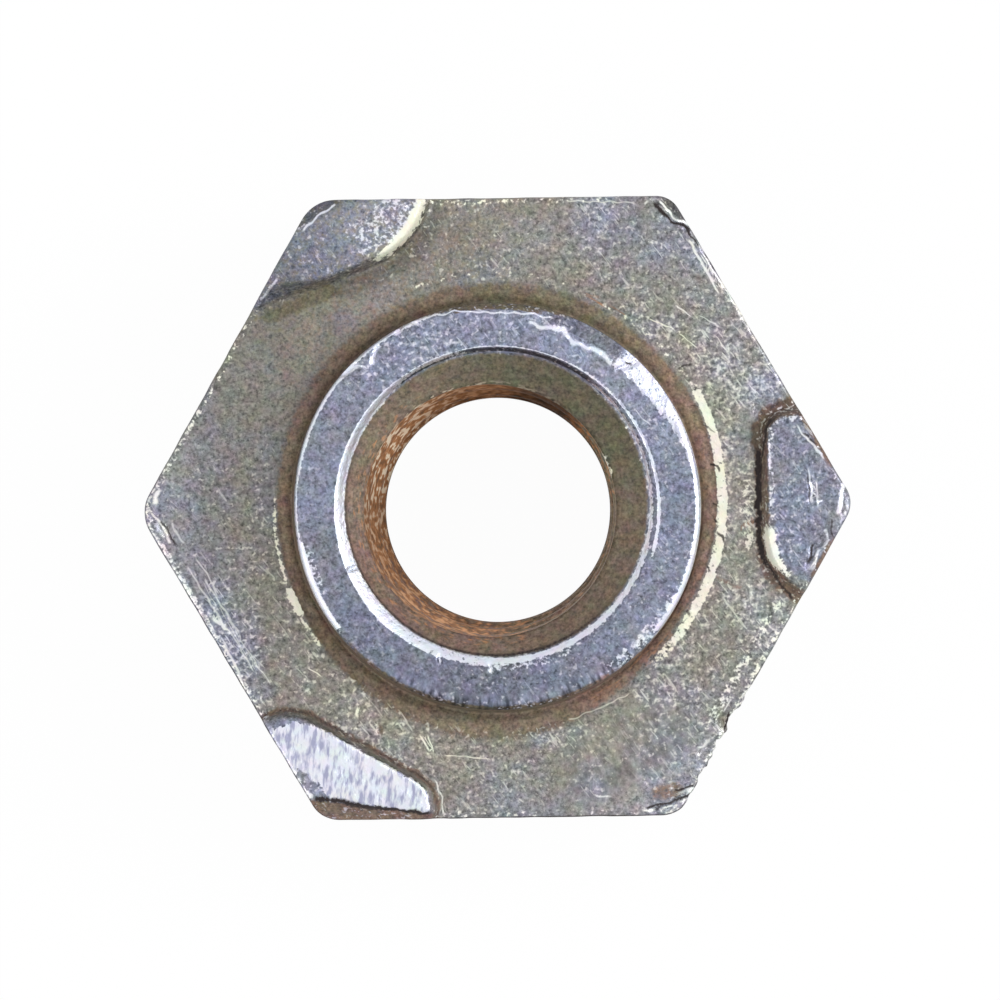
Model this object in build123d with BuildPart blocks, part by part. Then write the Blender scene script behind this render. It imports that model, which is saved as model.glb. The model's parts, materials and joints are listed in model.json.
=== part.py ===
from build123d import *

# Hexagon weld nut, M4, with a pilot collar and three weld projections.
#
# The nut is cold formed from one piece of steel. It lies on its plain face, with the weld face up.
# Origin: on the bore axis, in the plain face. +Z runs along the bore towards the collar.
# +X points at a corner of the hexagon, the one that carries the first projection. All sizes are in mm.

import os
from math import cos, radians, sin, tan

# ---- hexagon body ----
across_flats = 9.0
body_height = 3.5  # plain face to weld face
corner_radius = 0.38  # rounding of the six upright corners
outline_edge_radius = 0.05  # edge break round the weld face
plain_face_inset = 0.22  # circle of the plain face, in from the flats
plain_chamfer_angle = 30  # of the corner chamfer, measured from the plain face

# ---- threaded bore, M4 x 0.7 ----
thread_minor_diameter = 3.3
countersink_diameter = 4.42  # at both mouths
countersink_angle = 120  # included
opened_width = 0.18  # how much wider the worn bore is under the upper countersink, on the radius
opened_depth = 2.1  # from the upper countersink down to where the bore is straight
opened_offset = 0.1  # how far the worn part leans off the axis, at the countersink
opened_direction = 202  # towards this side, round the axis

# ---- pilot collar ----
collar_diameter = 5.95
collar_height = 0.65  # above the weld face
collar_edge_radius = 0.1
collar_mouth_bevel = 0.11  # between the collar's top and the countersink
relief_width = 0.38  # hollow that runs round the foot of the collar
relief_depth = 0.12

# ---- weld projections, one on every second corner ----
projection_count = 3
projection_height = 0.35  # above the weld face
projection_depth = 1.22  # rounded corner to the foot of the inner wall
projection_width = 2.9  # across the corner
projection_end_radius = 0.6  # where the inner wall turns out to the flats
projection_draft = 20  # of the inner wall
projection_edge_radius = 0.06
projection_corner_trim = 0.2  # crest's outer end, in from the rounded corner
projection_corner_slope = 45  # of the bevel there

# ---- struck and sheared edges, each a flat facet: direction round the axis, depth, slope ----
corner_facets = [(60, 0.16, 50), (301, 0.2, 42)]  # on two plain corners
flank_facet_direction = 262.6  # on the third projection, along its lower flat
flank_facet_depth = 0.047
flank_facet_slope = 50
collar_facet_direction = 34  # on the collar's top edge
collar_facet_depth = 0.17
collar_facet_slope = 20

# ---- worked out from the sizes above ----
half_flats = across_flats / 2
corner_distance = half_flats / cos(radians(30))
rounded_corner_distance = corner_distance - corner_radius * (1 / cos(radians(30)) - 1)
collar_top = body_height + collar_height
projection_top = body_height + projection_height
bore_radius = thread_minor_diameter / 2
collar_radius = collar_diameter / 2
countersink_radius = countersink_diameter / 2
opened_radius = bore_radius + opened_width
countersink_depth = (countersink_radius - bore_radius) / tan(radians(countersink_angle / 2))
mouth_height = collar_top - collar_mouth_bevel
throat_height = mouth_height - (countersink_radius - opened_radius) / tan(radians(countersink_angle / 2))
straight_height = throat_height - opened_depth
clear_radius = rounded_corner_distance + 1.0  # cutting profiles run out past the corners to here


def hexagon_outline():
    """The rounded hexagon, seen along the bore, with a corner on +X."""
    with BuildSketch() as outline:
        RegularPolygon(corner_distance, 6)
        fillet(outline.vertices(), corner_radius)
    return outline.sketch


def struck_plane(direction, distance, height, slope):
    """A plane that leans in over an edge at that height and distance from the axis, facing outwards."""
    toward = radians(direction)
    lean = radians(slope)
    return Plane(
        origin=(distance * cos(toward), distance * sin(toward), height),
        z_dir=(sin(lean) * cos(toward), sin(lean) * sin(toward), cos(lean)),
    )


# One projection: a drafted block with rounded ends, from inside the edge break up to its crest.
with BuildPart() as projection:
    for height in (body_height - outline_edge_radius, projection_top):
        inset = (height - body_height) * tan(radians(projection_draft))
        inner_wall = rounded_corner_distance - projection_depth + inset
        end_radius = projection_end_radius - inset
        with BuildSketch(Plane.XY.offset(height)):
            with Locations(((inner_wall + clear_radius) / 2, 0)):
                RectangleRounded(clear_radius - inner_wall, projection_width - 2 * inset, end_radius)
    loft()

# The three projections, flush with the flats of the hexagon, and bevelled at their outer corners.
with BuildPart() as projections:
    with PolarLocations(0, projection_count):
        add(projection.part)
    extrude(hexagon_outline(), amount=projection_top, mode=Mode.INTERSECT)
    with BuildSketch(Plane.XZ):
        with BuildLine():
            crest_end = rounded_corner_distance - projection_corner_trim
            bevel_drop = (clear_radius - crest_end) * tan(radians(projection_corner_slope))
            Polyline(
                (crest_end, projection_top),
                (clear_radius, projection_top - bevel_drop),
                (clear_radius, projection_top),
                close=True,
            )
        make_face()
    revolve(axis=Axis.Z, mode=Mode.SUBTRACT)
    crests = projections.faces().filter_by(Axis.Z).group_by(Axis.Z)[-1]
    fillet(crests.edges(), projection_edge_radius)

# The collar, with the place on its top edge that was sheared.
with BuildPart() as collar:
    with BuildSketch():
        Circle(collar_radius)
    extrude(amount=collar_top)
    fillet(collar.faces().sort_by(Axis.Z)[-1].edges(), collar_edge_radius)
    facet_distance = collar_radius - collar_facet_depth
    sheared = struck_plane(collar_facet_direction, facet_distance, collar_top, collar_facet_slope)
    split(bisect_by=sheared, keep=Keep.BOTTOM)

with BuildPart() as weld_nut:
    extrude(hexagon_outline(), amount=body_height)
    fillet(weld_nut.faces().sort_by(Axis.Z)[-1].edges(), outline_edge_radius)
    add(projections.part)

    # Facets where the edges of the hexagon were struck.
    for direction, depth, slope in corner_facets:
        struck = struck_plane(direction, rounded_corner_distance - depth, body_height, slope)
        split(bisect_by=struck, keep=Keep.BOTTOM)
    flank_distance = half_flats / cos(radians(270 - flank_facet_direction)) - flank_facet_depth
    flank = struck_plane(flank_facet_direction, flank_distance, projection_top, flank_facet_slope)
    split(bisect_by=flank, keep=Keep.BOTTOM)

    # The corner chamfer of the plain face.
    with BuildSketch(Plane.XZ):
        with BuildLine():
            plain_radius = half_flats - plain_face_inset
            chamfer_rise = (clear_radius - plain_radius) * tan(radians(plain_chamfer_angle))
            Polyline((plain_radius, 0), (clear_radius, 0), (clear_radius, chamfer_rise), close=True)
        make_face()
    revolve(axis=Axis.Z, mode=Mode.SUBTRACT)

    # The pilot collar, and the hollow round its foot.
    add(collar.part)
    with BuildSketch(Plane.XZ):
        with BuildLine():
            relief_end = collar_radius + relief_width
            ThreePointArc(
                (collar_radius, body_height),
                (collar_radius + relief_width / 2, body_height - relief_depth),
                (relief_end, body_height),
            )
            Line((relief_end, body_height), (collar_radius, body_height))
        make_face()
    revolve(axis=Axis.Z, mode=Mode.SUBTRACT)

    # The straight part of the bore, at the thread's minor diameter, and the lower countersink.
    with BuildSketch(Plane.XZ):
        with BuildLine():
            Polyline(
                (0, 0),
                (countersink_radius, 0),
                (bore_radius, countersink_depth),
                (bore_radius, straight_height),
                (0, straight_height),
                close=True,
            )
        make_face()
    revolve(axis=Axis.Z, mode=Mode.SUBTRACT)

    # Above it the bore is worn wider and leans to one side, and ends in the upper countersink.
    with BuildSketch(Plane.XY.offset(straight_height)):
        Circle(bore_radius)
    with BuildSketch(Plane.XY.offset(throat_height)):
        with PolarLocations(opened_offset, 1, start_angle=opened_direction):
            Circle(opened_radius)
    with BuildSketch(Plane.XY.offset(mouth_height)):
        Circle(countersink_radius)
    with BuildSketch(Plane.XY.offset(collar_top)):
        Circle(countersink_radius + collar_mouth_bevel)
    loft(ruled=True, mode=Mode.SUBTRACT)

weld_nut.part.label = "weld_nut"
os.makedirs("parts", exist_ok=True)
export_step(weld_nut.part, "parts/weld_nut.step")
print("volume", round(weld_nut.part.volume, 2), "mm3, size", weld_nut.part.bounding_box().size)
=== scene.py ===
# %% [markdown]
# # A worn M4 weld nut
#
# This lesson dresses a small hexagon weld nut, 9 mm across its flats. The real nut is cold formed
# from one piece of steel and then zinc plated. A solid model of it already exists and is loaded
# first: it gives the true sizes, and nothing here may reach outside its box. The visible nut is one
# closed mesh, because the real one is one piece of metal.

# %% Load the solid model
import json
from math import atan2, cos, pi, radians, sin, sqrt, tan

import bpy
import numpy as np
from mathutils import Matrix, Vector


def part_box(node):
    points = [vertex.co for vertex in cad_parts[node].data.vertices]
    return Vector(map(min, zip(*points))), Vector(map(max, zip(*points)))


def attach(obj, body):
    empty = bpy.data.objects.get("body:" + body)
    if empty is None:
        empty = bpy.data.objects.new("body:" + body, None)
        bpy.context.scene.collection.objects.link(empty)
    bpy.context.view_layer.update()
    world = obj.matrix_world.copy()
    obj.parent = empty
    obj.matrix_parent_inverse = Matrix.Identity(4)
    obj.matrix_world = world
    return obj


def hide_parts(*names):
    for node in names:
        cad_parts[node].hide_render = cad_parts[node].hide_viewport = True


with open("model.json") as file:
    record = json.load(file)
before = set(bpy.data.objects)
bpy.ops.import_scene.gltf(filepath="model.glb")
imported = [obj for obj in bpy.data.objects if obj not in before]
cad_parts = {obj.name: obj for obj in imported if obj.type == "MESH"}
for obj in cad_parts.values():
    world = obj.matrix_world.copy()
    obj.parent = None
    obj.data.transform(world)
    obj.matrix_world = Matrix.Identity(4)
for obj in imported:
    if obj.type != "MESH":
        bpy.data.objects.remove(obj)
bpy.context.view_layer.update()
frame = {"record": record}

MM = 0.001  # the lesson works in millimetres and multiplies by this where Blender needs metres
node_low, node_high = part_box("weld_nut")
mounts = {mount["name"]: mount for mount in frame["record"]["mounts"]}
half_flats = (node_high.y - node_low.y) / 2 / MM
collar_top = node_high.z / MM
corner_reach = node_high.x / MM
bore_radius = mounts["thread"]["dims"]["r_mm"]
collar_radius = mounts["pilot_collar"]["dims"]["r_mm"]
crest_height = mounts["weld_projections"]["pos_m"][2] / MM
print(f"half flats {half_flats:.3f}, corner reach {corner_reach:.3f}, collar top {collar_top:.3f} mm")

# %% [markdown]
# ## The camera
#
# The nut is seen straight from above. A long lens far away keeps the bore's wall nearly hidden, while
# a near camera would show deep into the thread. A camera without perspective would hide the wall
# wholly. The nut lies turned a little on the table, so the camera is rolled by the same amount.

# %% Camera
projection_height = 0.35
weld_face = crest_height - projection_height  # the face that the collar and the projections stand on
camera_distance = 200.0  # from the weld face
view_width = 14.51  # of the table's plane through the weld face
camera_roll = -0.83  # degrees
view_centre = (0.052, 0.115)  # from the nut's axis, across and up


def add_camera():
    lens = bpy.data.cameras.new("camera")
    lens.sensor_width = 36.0
    lens.lens = lens.sensor_width * camera_distance / view_width
    camera = bpy.data.objects.new("camera", lens)
    turn = radians(camera_roll)
    across, up = view_centre
    camera.location = (
        (across * cos(turn) - up * sin(turn)) * MM,
        (across * sin(turn) + up * cos(turn)) * MM,
        (weld_face + camera_distance) * MM,
    )
    camera.rotation_euler = (0, 0, turn)
    bpy.context.scene.collection.objects.link(camera)
    bpy.context.scene.camera = camera
    return camera


camera = add_camera()
print(f"lens {camera.data.lens:.0f} mm")

# %% [markdown]
# ## Small tools for shaping
#
# A worn surface could be sculpted by hand. Here it is worked out by formulas on whole arrays of
# points, which numpy does quickly, so that it stays true when a size changes and is the same on each
# run. A few helpers come back again and again: a smooth step, a window of angles, a soft line between
# two places, a ripple that looks random, and a value that changes with the direction.

# %% Shaping tools
def smooth(t):
    """0 below 0, 1 above 1, and a smooth step between."""
    t = np.clip(t, 0.0, 1.0)
    return t * t * (3 - 2 * t)


def turn_from(angle, start):
    """The angle in degrees from start to angle, between -180 and 180."""
    return (angle - start + 180) % 360 - 180


def between(angle, start, end, fade):
    """1 for directions from start to end (degrees, anticlockwise), fading out over that many degrees."""
    middle = (start + end) / 2
    return smooth(0.5 + ((end - start) / 2 - np.abs(turn_from(angle, middle))) / fade)


def band(value, low, high, fade):
    """1 where the value lies between low and high, fading out over that distance."""
    return smooth(0.5 + (value - low) / fade) * smooth(0.5 + (high - value) / fade)


def at(direction, radius):
    """The point in that direction, in degrees, and at that distance from the bore's axis."""
    return radius * cos(radians(direction)), radius * sin(radians(direction))


def stroke(x, y, start, end, width):
    """1 on the line between two places, each a direction and a radius, fading out over its width."""
    ax, ay = at(*start)
    bx, by = at(*end)
    length_squared = (bx - ax) ** 2 + (by - ay) ** 2
    along = np.clip(((x - ax) * (bx - ax) + (y - ay) * (by - ay)) / length_squared, 0, 1)
    away = np.hypot(x - ax - along * (bx - ax), y - ay - along * (by - ay))
    return smooth(1.25 - away / width)


def ripple(x, y, wavelength, seed, waves=24):
    """A random but repeatable wavy surface, about 1 high, made of many small waves."""
    random = np.random.default_rng(seed)
    total = np.zeros_like(x)
    for _ in range(waves):
        heading = random.uniform(0, 2 * pi)
        length = wavelength * random.uniform(0.7, 1.5)
        along = x * cos(heading) + y * sin(heading)
        total += np.sin(along * 2 * pi / length + random.uniform(0, 2 * pi))
    return total * sqrt(2 / waves)


def by_angle(angle, stops):
    """A value that changes evenly round the axis from stop to stop.

    The stops are {direction: value}, or a list of values for evenly spaced directions, from 0 on.
    """
    if isinstance(stops, list):
        stops = {i * 360 / len(stops): value for i, value in enumerate(stops)}
    return np.interp(angle, list(stops), list(stops.values()), period=360)


# %% [markdown]
# ## The outline
#
# Seen from above, the nut is a hexagon with rounded corners. A six-sided cylinder with its corners
# bevelled would make them all alike, but wear has rounded some more than others, so each corner has
# its own radius. The outline is written as a distance from the axis for each direction, because the
# mesh will be made of rings round that axis. The lower right flat was
# dragged over something hard: its edge is ragged.

# %% Outline
corner_radii = {0: 0.40, 60: 0.40, 120: 0.55, 180: 0.54, 240: 0.46, 300: 0.46}
ragged_from, ragged_to = 303.0, 324.0  # directions between which the edge is torn
ragged_depth = 0.045


def hexagon_radius(angle, inset=0.0):
    """Distance from the axis to the outline, moved inwards by the inset, for directions in degrees."""
    side = half_flats - inset
    radius = np.zeros_like(angle)
    for corner, rounding in corner_radii.items():
        off = np.radians(np.abs(turn_from(angle, corner)))
        near = off <= pi / 6 + 1e-9
        rounding = max(rounding - inset, 0.02)
        centre = (side - rounding) / cos(pi / 6)
        tangent = atan2(rounding * sin(pi / 6), centre + rounding * cos(pi / 6))
        flat = side / np.cos(pi / 6 - np.minimum(off, pi / 6))
        arc = centre * np.cos(off) + np.sqrt(np.maximum(rounding**2 - (centre * np.sin(off)) ** 2, 0))
        radius = np.where(near, np.where(off < tangent, arc, flat), radius)
    return radius


def torn(angle):
    """How far the ragged edge lies inside the true outline, in mm."""
    place = np.radians(angle) * half_flats
    still = 0 * place
    teeth = 0.6 + 0.4 * ripple(place, still, 0.30, seed=11) + 0.25 * ripple(place, still, 0.11, seed=12)
    ragged = ragged_depth * np.clip(teeth, 0, 1.6) * between(angle, ragged_from, ragged_to, 8)
    wavy = 0.003 * (1 + ripple(place, still, 0.5, seed=13)).clip(0, 2)
    return ragged + wavy


# %% [markdown]
# ## The weld projections
#
# On every second corner the press left a raised pad, which melts when the nut is welded on. Each pad
# has a steep inner wall that turns out to the flats at both ends. The pads could be blocks laid on
# the face, but a seam would show. Here they are a height added to the face: the distance inside a
# rounded rectangle gives the wall, over which the height rises in about 0.14 mm. The three pads
# differ a little in place, end radius and slope, as struck metal does.

# %% Weld projections
pads = {
    "right": dict(direction=0, foot=3.81, low=-1.45, high=1.42, low_end=1.00, high_end=0.45, rise=0.15),
    "upper_left": dict(direction=112, foot=3.91, low=-1.075, high=2.90, low_end=1.275, high_end=0.50,
                       rise=0.14),
    "lower_left": dict(direction=240, foot=3.91, low=-1.60, high=1.45, low_end=0.78, high_end=0.56,
                       rise=0.13),
}
pad_corner = {0: 4.99, 120: 4.93}  # direction of a corner and how far out its bevel starts
pad_corner_slope = 1.0
flank_direction, flank_distance, flank_slope = 262.6, 4.49, 1.2  # bevel along the lower flat


def inside_pad(pad, x, y):
    """How far a point lies inside the pad's outline, in mm; negative outside."""
    ux, uy = at(pad["direction"], 1.0)
    out = x * ux + y * uy - pad["foot"]
    side = y * ux - x * uy
    middle = (pad["low"] + pad["high"]) / 2
    end = np.where(side < middle, pad["low_end"], pad["high_end"])
    qx = end - out
    qy = np.abs(side - middle) - (pad["high"] - pad["low"]) / 2 + end
    return end - np.hypot(np.maximum(qx, 0), np.maximum(qy, 0)) - np.minimum(np.maximum(qx, qy), 0)


def toward(x, y, direction):
    """How far out a point lies in that direction."""
    ux, uy = at(direction, 1.0)
    return x * ux + y * uy


def pad_height(x, y):
    """Height of the projections above the weld face."""
    height = np.zeros_like(x)
    for name, pad in pads.items():
        depth = inside_pad(pad, x, y)
        rise = pad["rise"]
        if name == "upper_left":  # its left half was pressed only softly
            rise = rise + 0.30 * smooth((toward(x, y, 202) - 0.9) / 1.0)
        height = np.maximum(height, (crest_height - weld_face) * smooth(depth / rise))
    return height


# %% [markdown]
# ## Struck and sheared places
#
# A loose nut knocks against others. Two plain corners were struck flat, with a burr pushed up beside
# the flat, and the collar's edge was sheared. Each is a tilted plane that cuts the surface lower: the
# height there is the smaller of the two. Dents, cracks and scratches are soft strokes between two
# places, each given by a direction round the axis and a radius, so that they read like a clock.

# %% Struck places
corner_cuts = [  # direction of the plane, its distance from the axis, its slope, height of its burr
    (50, 4.87, 0.9, 0.035),
    (301, 5.00, 0.8, 0.015),
]
dents = [  # from, to, width, depth
    ((305.5, 4.93), (301.8, 4.86), 0.05, 0.06),
    ((302.5, 5.02), (296.8, 4.92), 0.04, 0.07),
    ((315.6, 4.48), (314.8, 4.62), 0.05, 0.08),
    ((311.0, 4.62), (309.0, 4.66), 0.06, 0.06),
    ((348.2, 4.62), (352.4, 4.65), 0.04, 0.07),
    ((353.0, 4.72), (354.5, 4.82), 0.06, 0.06),
    ((0.2, 4.56), (4.0, 4.60), 0.05, 0.04),
    ((0.3, 4.72), (1.2, 4.80), 0.05, 0.04),
    ((180.4, 5.02), (182.0, 4.88), 0.04, 0.05),
    ((182.0, 4.88), (184.0, 4.82), 0.04, 0.05),
    ((59.5, 4.91), (55.0, 4.89), 0.035, 0.06),
    ((240.8, 3.60), (242.0, 3.66), 0.05, 0.03),
]
collar_cuts = [  # direction, distance, slope
    (46, 2.675, 0.30),
    (62, 2.66, 0.36),
    (87, 2.84, 1.20),
]
collar_nicks = [
    ((112.2, 2.87), (113.5, 2.94), 0.035, 0.05),
    ((117.0, 2.95), (119.5, 2.90), 0.035, 0.04),
    ((125.5, 2.90), (128.5, 2.82), 0.030, 0.06),
    ((128.5, 2.82), (129.7, 2.75), 0.030, 0.04),
    ((132.2, 2.77), (133.5, 2.90), 0.035, 0.06),
    ((133.5, 2.90), (138.0, 2.93), 0.030, 0.05),
    ((202.2, 2.20), (201.6, 2.31), 0.035, 0.07),
    ((48.0, 2.66), (45.0, 2.92), 0.030, 0.05),
    ((248.0, 2.34), (249.0, 2.38), 0.035, 0.05),
    ((266.5, 2.30), (267.5, 2.36), 0.030, 0.04),
]


def strokes(x, y, marks):
    """The strongest of several strokes at each point."""
    strongest = np.zeros_like(x)
    for start, end, width, strength in marks:
        strongest = np.maximum(strongest, strength * stroke(x, y, start, end, width))
    return strongest


def wander(x, y):
    """Moves points about a little, so that strokes drawn over them are not straight."""
    return x + 0.009 * ripple(x, y, 0.22, seed=31), y + 0.009 * ripple(x, y, 0.22, seed=32)


def face_height(x, y):
    """Height of everything outside the collar and its hollow, apart from the outermost edge."""
    height = weld_face + pad_height(x, y)
    for corner, start in pad_corner.items():
        past = toward(x, y, corner) - start
        height = np.minimum(height, crest_height - pad_corner_slope * past)
    past = toward(x, y, flank_direction) - flank_distance
    height = np.minimum(height, crest_height - 0.02 - flank_slope * past)
    for direction, distance, slope, burr in corner_cuts:
        past = toward(x, y, direction) - distance
        raised = height + burr * smooth(1 - np.abs(past + 0.01) / 0.05)
        height = np.minimum(raised, weld_face - slope * past + burr)
    height = height - strokes(*wander(x, y), dents)
    height += 0.005 * ripple(x, y, 0.9, seed=1) + 0.003 * ripple(x, y, 0.28, seed=2)
    return height


# %% [markdown]
# ## The collar and the hollow at its foot
#
# The collar centres the nut in its hole. Its top is flat, with a bright rounded edge outside and a
# bevel inside, where the bore's countersink starts. The countersink was drilled a little off centre,
# so its rim is nearer the edge on one side, and the bevel is wide on the other. A profile spun round
# the axis would be alike on all sides. So these are rings: each has its own centre, radius and
# height, and neighbouring rings are joined by faces.

# %% Rings of the collar
FINE = 720  # points in a ring of the upper surface
CROWDING = 0.35  # how much closer the points stand at the corners of the hexagon

steps = np.arange(FINE) * 2 * pi / FINE
fine_angles = np.degrees(steps - CROWDING * np.sin(6 * steps) / 6)
cosine, sine = np.cos(np.radians(fine_angles)), np.sin(np.radians(fine_angles))

land = 0.015  # the collar's top lies this far below its highest burrs
mouth_bevel = 0.11
mouth_radius, mouth_centre = 2.217, (0.0, 0.050)
bevel_radius = 2.34
throat_radius, throat_centre, throat_height = 1.83, (-0.093, -0.038), 3.80
edge_radius = 0.10
relief_depth = 0.12
full_relief_width = 0.36  # where the hollow is narrower than this, it is also less deep
collar_foot = weld_face - 0.10


def ring(radius, height, centre=(0.0, 0.0), every=1):
    """One ring of points. Radius and height may be single numbers or one for each point."""
    x = centre[0] + radius * cosine[::every]
    y = centre[1] + radius * sine[::every]
    return np.column_stack([x, y, np.broadcast_to(height, x.shape)])


def mixed(a, b, t):
    """A value, or a pair of values, part of the way from a to b."""
    return tuple(p + (q - p) * t for p, q in zip(a, b)) if isinstance(a, tuple) else a + (b - a) * t


def collar_edge(angle):
    """Radius of the collar: a little less on its left and lower sides."""
    return collar_radius - 0.015 - 0.040 * between(angle, 165, 318, 50)


def collar_rings():
    rings = []
    edge = collar_edge(fine_angles)
    for t in np.linspace(0, 1, 9):  # the countersink's cone
        centre = mixed(throat_centre, mouth_centre, t)
        height = mixed(throat_height, collar_top - land - mouth_bevel, t)
        rings.append(ring(mixed(throat_radius, mouth_radius, t), height, centre))
    for t in (0.12, 0.35, 0.6, 0.85, 1.0):  # the bevel at its mouth
        centre = mixed(mouth_centre, (0.0, 0.0), t)
        height = collar_top - land - mouth_bevel * (1 - t) ** 1.2
        rings.append(ring(mixed(mouth_radius, bevel_radius, t), height, centre))
    for t in np.linspace(0.04, 1, 17):  # the flat top
        rings.append(ring(mixed(bevel_radius, edge - edge_radius, t), collar_top - land))
    for turn in np.linspace(15, 90, 6):  # the rounded outer edge
        out = edge_radius * (1 - sin(radians(turn)))
        down = edge_radius * (1 - cos(radians(turn)))
        rings.append(ring(edge - out, collar_top - land - down))
    for t in (0.25, 0.5, 0.75, 1.0):  # the outer wall
        radius = mixed(edge, collar_radius, t)
        rings.append(ring(radius, mixed(collar_top - land - edge_radius, collar_foot, t)))
    return rings


# %% [markdown]
# ## Wear on the collar
#
# The collar stands highest, so it takes the knocks. Its edge was sheared on the upper right, which
# pushed a burr up along the cut, and small nicks lie on its rounded edge. The points of the rings are
# lowered to tilted planes: that keeps the mesh in rings, which cutting it would not.

# %% Worn collar
def wear_collar(points):
    """Shears the collar's edge, raises a burr beside the second cut and makes the nicks."""
    x, y, z = points.T
    angle = np.degrees(np.arctan2(y, x))
    radius = np.hypot(x, y)
    on_top = z > weld_face + 0.2
    for direction, distance, slope in collar_cuts:
        past = toward(x, y, direction) - distance
        z = np.where(on_top, np.minimum(z, collar_top - land - slope * past), z)
    top_part = on_top & (radius > bevel_radius)
    burr = between(angle, 49, 72, 4) * smooth(1 - np.abs(toward(x, y, 62) - 2.65) / 0.035)
    z = z + np.where(top_part, 0.028 * burr * (1 + 0.5 * ripple(x, y, 0.12, seed=5)), 0)
    z = z - np.where(on_top, strokes(*wander(x, y), collar_nicks), 0)
    z = z + np.where(top_part, 0.0025 * ripple(x, y, 0.35, seed=6), 0)
    return np.column_stack([x, y, np.minimum(z, collar_top - 0.001)])


collar = [wear_collar(points) for points in collar_rings()]
print(f"{len(collar)} rings from the throat to the collar's foot")

# %% [markdown]
# ## The hollow, the face and the edge
#
# The hollow lets the collar's foot seat without touching the sheet. It is deepest at the collar and
# rises to a soft lip, which is nearer on some sides than on others. From there the rings change from
# circles to the shape of the outline: each ring is a mix of the two, so the outermost ones run
# parallel to the flats. A grid of squares would leave a stepped edge. The last rings round it off.

# %% Rings of the face
edge_break = 0.05


def hollow_end(angle):
    """Outer radius of the hollow: it is wider on its lower side."""
    return by_angle(angle, {0: 3.21, 22: 3.27, 55: 3.32, 120: 3.30, 165: 3.26, 185: 3.20, 212: 3.20,
                            230: 3.28, 265: 3.38, 300: 3.26, 315: 3.16, 330: 3.13, 345: 3.18})


def face_rings():
    rings = []
    end = hollow_end(fine_angles)
    softness = by_angle(fine_angles, {0: 1.0, 40: 1.3, 90: 1.9, 180: 1.5, 270: 2.0, 320: 1.2})
    for t in np.linspace(0.10, 1.0, 12):  # the hollow
        radius = collar_radius + (end - collar_radius) * t
        depth = relief_depth * np.minimum((end - collar_radius) / full_relief_width, 1)
        dip = depth * (1 - t) ** softness
        rings.append(ring(radius, weld_face - dip))
    outline = hexagon_radius(fine_angles, edge_break) - torn(fine_angles)
    for t in np.linspace(0, 1, 45)[1:]:  # the face, out to the edge
        rings.append(ring(end + (outline - end) * t, 0.0))
    return rings


def raise_face(points):
    x, y, z = points.T
    height = face_height(x, y)
    hollow = z - weld_face
    return np.column_stack([x, y, np.where(z > 0, height + hollow, height)])


def edge_rings(last):
    """Rounds the outer edge off, starting from the face's last ring."""
    rings = []
    for turn in (30, 60, 90):
        inset = edge_break * (1 - sin(radians(turn)))
        down = edge_break * (1 - cos(radians(turn)))
        radius = hexagon_radius(fine_angles, inset) - torn(fine_angles)
        rings.append(ring(radius, last[:, 2] - down))
    return rings


face = [raise_face(points) for points in face_rings()]
face += edge_rings(face[-1])
print(f"{len(face)} rings from the hollow to the outer edge")

# %% [markdown]
# ## The sides, the plain face and the thread
#
# The lower part needs fewer points, so its rings have half as many. The flats run straight down to
# the chamfer that cuts the corners of the plain face. In the bore, the radius of each ring follows
# the M4 thread: its pitch is 0.7 mm, and the profile moves up by one pitch for each turn, which makes
# a helix without any twisted rings. The upper turns are worn wider and lean to one side.

# %% Rings below the edge
coarse_angles = fine_angles[::2]
plain_radius = half_flats - 0.22
chamfer_slope = tan(radians(30))
pitch = 0.7
root_radius = 2.0
bore_foot_centre = (0.023, -0.031)
taper_end = 1.7  # height at which the opened part of the bore ends
countersink_depth = 0.323
foot_radius = 2.21


def coarse_ring(radius, height, centre=(0.0, 0.0)):
    """A ring with only every second direction."""
    return ring(radius, height, centre, every=2)


def side_rings(edge):
    outline = hexagon_radius(coarse_angles) - torn(coarse_angles)
    top = edge[::2, 2]
    foot = (outline - plain_radius) * chamfer_slope
    rings = []
    for t in np.linspace(0, 1, 12)[1:]:
        height = top + (foot - top) * t
        scuff = 0.006 * ripple(np.radians(coarse_angles) * 4.8, height * 2.5, 0.6, seed=21)
        rings.append(coarse_ring(outline - np.abs(scuff) * (1 - t) * (t > 0), height))
    for t in np.linspace(0, 1, 5)[1:]:  # the chamfer
        rings.append(coarse_ring(outline + (plain_radius - outline) * t, foot * (1 - t)))
    for t in np.linspace(0, 1, 6)[1:]:  # the plain face, a little dished
        radius = mixed(plain_radius, foot_radius, t)
        rings.append(coarse_ring(radius, 0.02 * sin(pi * t)))
    for t in np.linspace(0, 1, 6)[1:-1]:  # the lower countersink
        rings.append(coarse_ring(mixed(foot_radius, bore_radius, t), countersink_depth * t))
    return rings


def thread_rings():
    rings = []
    for height in np.linspace(countersink_depth, throat_height - 0.03, 49):
        opened = smooth((height - taper_end) / (throat_height - taper_end))
        crest = bore_radius + (throat_radius - bore_radius) * opened
        place = (height / pitch - coarse_angles / 360) % 1.0
        groove = np.clip((0.75 - 2 * np.abs(place - 0.5)) / 0.625, 0, 1)
        fade = smooth((throat_height - height) / 1.60) * smooth((height - countersink_depth) / 0.25)
        radius = crest + (root_radius - crest) * groove * fade
        rings.append(coarse_ring(radius, height, mixed(bore_foot_centre, throat_centre, opened)))
    return rings


lower = side_rings(face[-1]) + thread_rings()
print(f"{len(lower)} rings below the edge and in the bore")


# %% [markdown]
# ## One closed skin
#
# One piece of metal is one closed skin. It could be joined from parts by a boolean, but the rings
# already fit: up the cone, over the collar, out over the face, down the sides, in under the plain
# face and up the bore, back to the first ring. Two rings of the same size are joined by four-sided
# faces. Where a fine ring meets one with half as many points, three triangles take up each step.

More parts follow.
